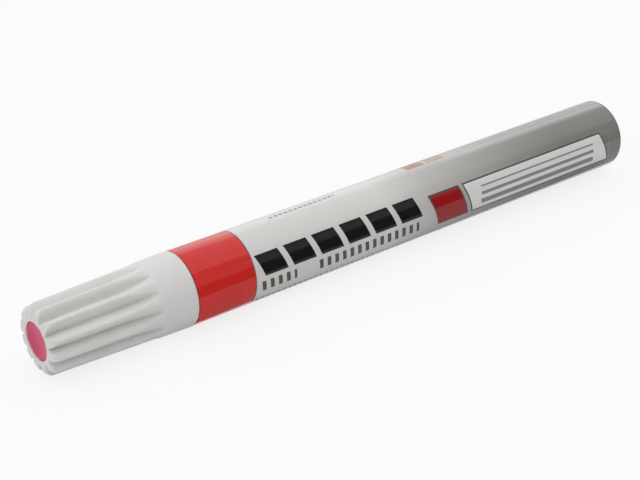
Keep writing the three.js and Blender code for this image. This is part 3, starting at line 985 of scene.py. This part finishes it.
@dataclass
class Tip(Assembly):
    """What the cap covers: the nose with its collar, and the nib. Sizes are in millimetres."""

    front: Span = measured("front_section")
    nib: Span = measured("nib")
    bullet: float = 3.4  # Length of the nib's rounded tip
    bullet_step: int = 9  # Degrees between the rings of the rounded tip
    nib_grid: float = 1.0  # Longest edge of the nib's mesh
    nib_bore: float = 2.35  # Radius of the bore that the nib slides in
    nose_radius: float = 3.0  # Radius of the nose's tip
    nose_length: float = 5.0  # From the nose's tip to the sealing land
    land_radius: float = 4.1
    land_length: float = 2.6
    land_round: float = 0.5  # Round of its front edge
    neck_radius: float = 4.65
    neck_length: float = 2.6
    collar_radius: float = 6.4
    collar_length: float = 7.85  # From the collar's front to the plug's shoulder
    snap_back: float = 3.2  # From the collar's front to the middle of its bead
    snap_height: float = 0.14
    snap_width: float = 1.2
    snap_round: float = 0.15  # Round of the bead's top
    groove_back: float = 4.2  # From the shoulder to the middle of the sealing ring's groove
    groove_width: float = 1.3
    groove_radius: float = 5.57  # Radius at its bottom
    valve_bore: float = 4.35  # Radius of the bore round the valve
    valve_depth: float = 4.4  # Depth of that bore from the rear
    chamber_radius: float = 3.2  # Radius of the paint chamber
    chamber_depth: float = 10.05  # Depth of the chamber from the rear
    edge: float = 0.4  # Size of the chamfers

    def build_front(self) -> None:
        """Makes the front section as one turned moulding."""
        nose, end, plug = self.front.start, self.front.end, self.front.radius
        land = nose + self.nose_length
        neck = land + self.land_length
        collar, radius = neck + self.neck_length, self.collar_radius
        shoulder, snap = collar + self.collar_length, collar + self.snap_back
        top, half = radius + self.snap_height, self.snap_width / 2
        groove, side = shoulder + self.groove_back, self.groove_width / 2
        valve, chamber = end - self.valve_depth, end - self.chamber_depth
        mesh = Lathe(INNER_STEPS).spin([
            (nose, self.nib_bore),
            (nose, self.nose_radius, self.edge),
            (land, self.land_radius, self.land_round),
            (neck, self.land_radius, FINE_ROUND),
            (neck + self.edge, self.neck_radius, FINE_ROUND),
            (collar, self.neck_radius, FINE_ROUND),
            (collar, radius, self.edge),
            (snap - half, radius, FINE_ROUND),
            (snap - half / 3, top, self.snap_round),
            (snap + half / 3, top, self.snap_round),
            (snap + half, radius, FINE_ROUND),
            (shoulder, radius),
            (shoulder, plug, FINE_ROUND),
            (groove - side, plug),
            (groove - side, self.groove_radius),
            (groove + side, self.groove_radius),
            (groove + side, plug),
            (end, plug, self.edge),
            (end, self.valve_bore),
            (valve, self.valve_bore),
            (valve, self.chamber_radius),
            (chamber, self.chamber_radius),
            (chamber - (self.chamber_radius - self.nib_bore), self.nib_bore),
        ])
        self.add("front_section_moulded", mesh, FRONT_PLASTIC, Body.BARREL, "front_section")

    def build_nib(self) -> None:
        """Makes the bullet nib."""
        start, end, radius = self.nib.start, self.nib.end, self.nib.radius
        angles = [math.radians(angle) for angle in range(0, 91, self.bullet_step)]
        rings = [(self.bullet * (1 - math.cos(a)), radius * math.sin(a)) for a in angles]
        mesh = Lathe(INNER_STEPS, self.nib_grid).spin([
            *((start + back, ring) for back, ring in rings),
            (end, radius, SOFT_ROUND),
            (end, 0.0),
        ])
        self.add("nib_bullet", mesh, NIB_FIBRE, Body.NIB, "nib")

    def build(self) -> None:
        """Makes both pieces."""
        self.build_front()
        self.build_nib()


@dataclass
class Valve(Assembly):
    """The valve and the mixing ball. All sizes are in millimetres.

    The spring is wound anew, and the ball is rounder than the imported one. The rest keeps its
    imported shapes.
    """

    spring: Span = measured("valve_spring")
    wire: float = 0.48  # Thickness of its wire
    turns: int = 5  # How many turns it has between its two flat end turns
    end_pitch: float = 0.5  # Rise of an end turn
    turn_steps: int = 40  # Sections in one turn
    wire_sides: int = 12  # Facets round the wire
    ball_sides: int = 96
    finishes: dict[str, Finish] = field(default_factory=lambda: {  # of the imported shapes
        "valve_seat": VALVE_PLASTIC,
        "valve_stem": VALVE_PLASTIC,
        "valve_cage": VALVE_PLASTIC,
        "valve_gasket": SEAL_RUBBER,
        "sealing_ring": SEAL_RUBBER,
    })

    def build_spring(self) -> None:
        """Winds the spring."""
        start, end, middle = self.spring.start, self.spring.end, self.spring.radius - self.wire / 2
        open_length = end - start - self.wire - 2 * self.end_pitch
        mesh = bmesh.new()
        place = Matrix.Translation(AXIS.point(start + self.wire / 2, middle))
        bmesh.ops.create_circle(
            mesh, cap_ends=False, radius=self.wire / 2 * MM, segments=self.wire_sides,
            matrix=place @ Matrix.Rotation(math.pi / 2, 4, "X"),
        )
        last = mesh.verts[:] + mesh.edges[:]
        end_turn = (1, self.end_pitch)
        for turns, pitch in (end_turn, (self.turns, open_length / self.turns), end_turn):
            last = bmesh.ops.spin(
                mesh, geom=last, axis=(-1, 0, 0), cent=AXIS.point(0),
                dvec=(pitch * MM / self.turn_steps, 0, 0), angle=2 * math.pi * turns,
                steps=self.turn_steps * turns, use_merge=False, use_duplicate=False,
            )["geom_last"]
        bmesh.ops.holes_fill(mesh, edges=[e for e in mesh.edges if e.is_boundary], sides=0)
        bmesh.ops.recalc_face_normals(mesh, faces=mesh.faces[:])
        piece = self.add("valve_spring_coil", mesh, SPRING_STEEL, None, "valve_spring")
        front, rear = start + self.end_pitch, end - self.end_pitch
        tuple(AXIS.point(front))
        tuple(AXIS.point(rear))
        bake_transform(piece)

    def build_ball(self) -> None:
        """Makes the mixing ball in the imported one's place."""
        low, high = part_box("mixing_ball")
        mesh = bmesh.new()
        bmesh.ops.create_uvsphere(
            mesh, u_segments=self.ball_sides, v_segments=self.ball_sides // 2,
            radius=(high[0] - low[0]) / 2, matrix=Matrix.Translation((low + high) / 2),
        )
        self.add("mixing_ball_steel", mesh, BALL_STEEL, Body.BALL, "mixing_ball")

    def build(self) -> None:
        """Makes the spring and the ball and gives the other nodes their finish."""
        self.build_spring()
        self.build_ball()
        made = {finish: finish.make() for finish in dict.fromkeys(self.finishes.values())}
        for node, finish in self.finishes.items():
            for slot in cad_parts[node].material_slots:
                slot.material = made[finish]
            LOG.info("%s: packed shape, %s", node, finish.name)


@dataclass(frozen=True)
class Softbox:
    """A rectangular lamp, in metres."""

    name: str
    place: Place  # Its middle
    aim: Place  # The point that it faces
    size: Pair  # Its width and height
    brightness: float  # Radiance of its face, where 1 shows as white
    mirrored: bool = True  # Whether glossy surfaces show it

    def build(self) -> None:
        """Adds the lamp, unseen by the camera itself."""
        lamp = bpy.data.lights.new(self.name, "AREA")
        lamp.shape = "RECTANGLE"
        lamp.size, lamp.size_y = self.size
        lamp.energy = self.brightness * math.pi * self.size[0] * self.size[1]
        holder = put(self.name, lamp)
        holder.location = self.place
        direction = Vector(self.aim) - Vector(self.place)
        holder.rotation_euler = direction.to_track_quat("-Z", "Y").to_euler()
        holder.visible_camera = False
        holder.visible_glossy = self.mirrored
        LOG.info("%s: brightness %.2f", self.name, self.brightness)


@dataclass(frozen=True)
class Card:
    """A matt card that only shows as a reflection, where it paints a darker reflection, in metres.
    """

    name: str
    place: Place  # Its middle
    size: Pair  # Its width and depth
    tilt: float  # Degrees by which its edge away from the pen is raised
    near: float  # How much light its edge next to the pen sends back
    far: float  # How much light its other edge sends back

    def build(self) -> None:
        """Adds the card, which casts no shadow and lights nothing."""
        card = matt_sheet(self.name, self.size, self.near, self.far)
        card.location = self.place
        card.rotation_euler = (math.radians(-self.tilt), 0.0, 0.0)
        card.visible_camera = False
        card.visible_diffuse = False
        card.visible_shadow = False


def matt_sheet(name: str, size: Pair, near: float, far: float) -> bpy.types.Object:
    """Makes a flat matt sheet at the origin that isn't part of the pen.

    Args:
        name: Its name, and its material's.
        size: Its width and depth, in metres.
        near: How much light its edge at +Y sends back.
        far: How much light its edge at -Y sends back.

    Returns:
        The sheet.
    """
    mesh = bmesh.new()
    bmesh.ops.create_grid(mesh, x_segments=1, y_segments=1, size=0.5)
    bmesh.ops.scale(mesh, vec=(*size, 1.0), verts=mesh.verts[:])
    data = bpy.data.meshes.new(name)
    mesh.to_mesh(data)
    mesh.free()
    sheet = put(name, data)
    material = bpy.data.materials.new(name)
    material.use_nodes = True
    graph = Graph(material.node_tree)
    place = graph.add("ShaderNodeSeparateXYZ", {0: graph.object_place()})
    share = graph.span(place.outputs["Y"], size[1] / 2, -size[1] / 2)
    tone = graph.mix(share, (near, near, near, 1.0), (far, far, far, 1.0))
    matt = {"Roughness": MATT_ROUGHNESS, "Specular IOR Level": 0.0, "Base Color": tone}
    for label, value in matt.items():
        graph.feed(graph.shader.inputs[label], value)
    data.materials.append(material)
    return sheet


@dataclass(frozen=True)
class Studio:
    """Floor, cards that paint darker reflections, surroundings and lamps, in metres."""

    floor_size: float = 6.0  # Length of its sides
    floor_colour: float = 0.86  # How much light the floor sends back
    floor_glow: float = 0.82  # Share of plain white in it, to the camera and mirrors
    room_light: float = 0.26  # Strength of the surroundings as a light
    cards: tuple[Card, ...] = (
        # Painted shadow: the pen's shadow on the floor beside it, as mirrors see it
        Card("floor_shadow_card", (0.3, -0.026, 0.0004), (2.4, 0.042), 0.0, 0.70, 0.70),
        # Painted reflection: a dark band along the pen's side that faces the camera; its edge by the
        # pen also paints the pen's shadow on the floor as mirrors see it
        Card("dark_reflection_card", (0.3, -0.333, 0.110), (2.4, 0.615), 20.9, 0.04, 0.04),
        # Painted reflection: a dimmer reflection of the room on the camera's side, darker lower down
        Card("grey_reflection_card", (0.3, -0.620, 0.645), (2.4, 0.850), 90.0, 0.45, 1.0),
    )
    softboxes: tuple[Softbox, ...] = (
        Softbox(
            "overhead_softbox", (0.0, -0.10, 0.50), (0.0, -0.10, 0.0), (1.6, 1.0), 0.86,
            mirrored=False,
        ),
        Softbox("back_softbox", (0.3, 0.72, 0.36), (0.3, 0.0, 0.0), (2.2, 0.52), 0.58),
        Softbox("rear_softbox", (0.93, 0.58, 0.54), (0.93, 0.0, 0.0), (0.60, 0.34), 1.0),
        Softbox(
            "front_softbox", (-0.30, -0.36, 0.66), (0.0, 0.0, 0.01), (0.7, 0.4), 0.24,
            mirrored=False,
        ),
        Softbox(
            "end_softbox", (-0.75, -0.16, 0.26), (0.0, 0.0, 0.01), (0.6, 0.5), 0.90,
            mirrored=False,
        ),
    )

    def seen(self, graph: Graph) -> Socket:
        """Tells the camera, and what mirrors or lets it through, from the lights.

        Args:
            graph: Where its nodes go.

        Returns:
            1 for a ray that is seen, and 0 for the rest.
        """
        path = graph.add("ShaderNodeLightPath").outputs
        through = graph.math(Op.MAXIMUM, path["Is Glossy Ray"], path["Is Transmission Ray"])
        return graph.math(Op.MAXIMUM, path["Is Camera Ray"], through)

    def build_floor(self) -> None:
        """Makes a pale floor that shows nearly white, with the pen's soft shadow."""
        size, colour = (self.floor_size,) * 2, self.floor_colour
        tree = matt_sheet("studio_floor", size, colour, colour).data.materials[0].node_tree
        graph = Graph(tree)
        blend = graph.add("ShaderNodeMixShader", {
            0: graph.math(Op.MULTIPLY, self.seen(graph), self.floor_glow),
            1: graph.shader.outputs[0],
            2: graph.add("ShaderNodeEmission").outputs[0],
        })
        graph.feed(tree.nodes["Material Output"].inputs["Surface"], blend.outputs[0])

    def build_room(self) -> None:
        """Makes the surroundings white to the camera and dimmer as a light."""
        world = bpy.data.worlds.new("studio_room")
        world.use_nodes = True
        bpy.context.scene.world = world
        graph = Graph(world.node_tree)
        background = world.node_tree.nodes["Background"]
        background.inputs["Color"].default_value = (1.0, 1.0, 1.0, 1.0)
        strength = graph.between(self.seen(graph), self.room_light, 1.0)
        graph.feed(background.inputs["Strength"], strength)

    def build(self) -> None:
        """Sets up the whole studio."""
        self.build_floor()
        self.build_room()
        for thing in (*self.cards, *self.softboxes):
            thing.build()


@dataclass(frozen=True)
class PhotoCamera:
    """The camera at the photograph's place."""

    from_front: float = -0.1059  # Metres from the cap's front end, along X
    side: float = -0.2211  # Y in metres
    above_axis: float = 0.1547  # Metres above the pen's axis
    azimuth: float = -37.5  # Degrees to the left of straight along +Y
    elevation: float = 29.18  # Degrees above the floor
    lens: float = 90.0  # Focal length in millimetres
    sensor: float = 36.0  # Width of the sensor in millimetres
    nearest: float = 0.01  # Metres from which the camera sees

    def build(self) -> None:
        """Adds the camera and makes it the scene's own."""
        data = bpy.data.cameras.new("photo_camera")
        data.lens = self.lens
        data.sensor_width = self.sensor
        data.clip_start = self.nearest
        camera = put("photo_camera", data)
        camera.location = (AXIS.front + self.from_front, self.side, AXIS.height + self.above_axis)
        camera.rotation_euler = (
            math.radians(90.0 - self.elevation), 0.0, math.radians(self.azimuth)
        )
        bpy.context.scene.camera = camera


def main() -> None:
    """Builds the camera, the pen's pieces and the studio in order."""
    logging.basicConfig(level=logging.INFO, format="%(name)s %(message)s")
    bpy.context.scene.view_settings.view_transform = "Standard"
    PhotoCamera().build()
    for assembly in (Cap(), Barrel(), Tip(), Valve()):
        assembly.build()
    Studio().build()


if __name__ == "__main__":
    main()
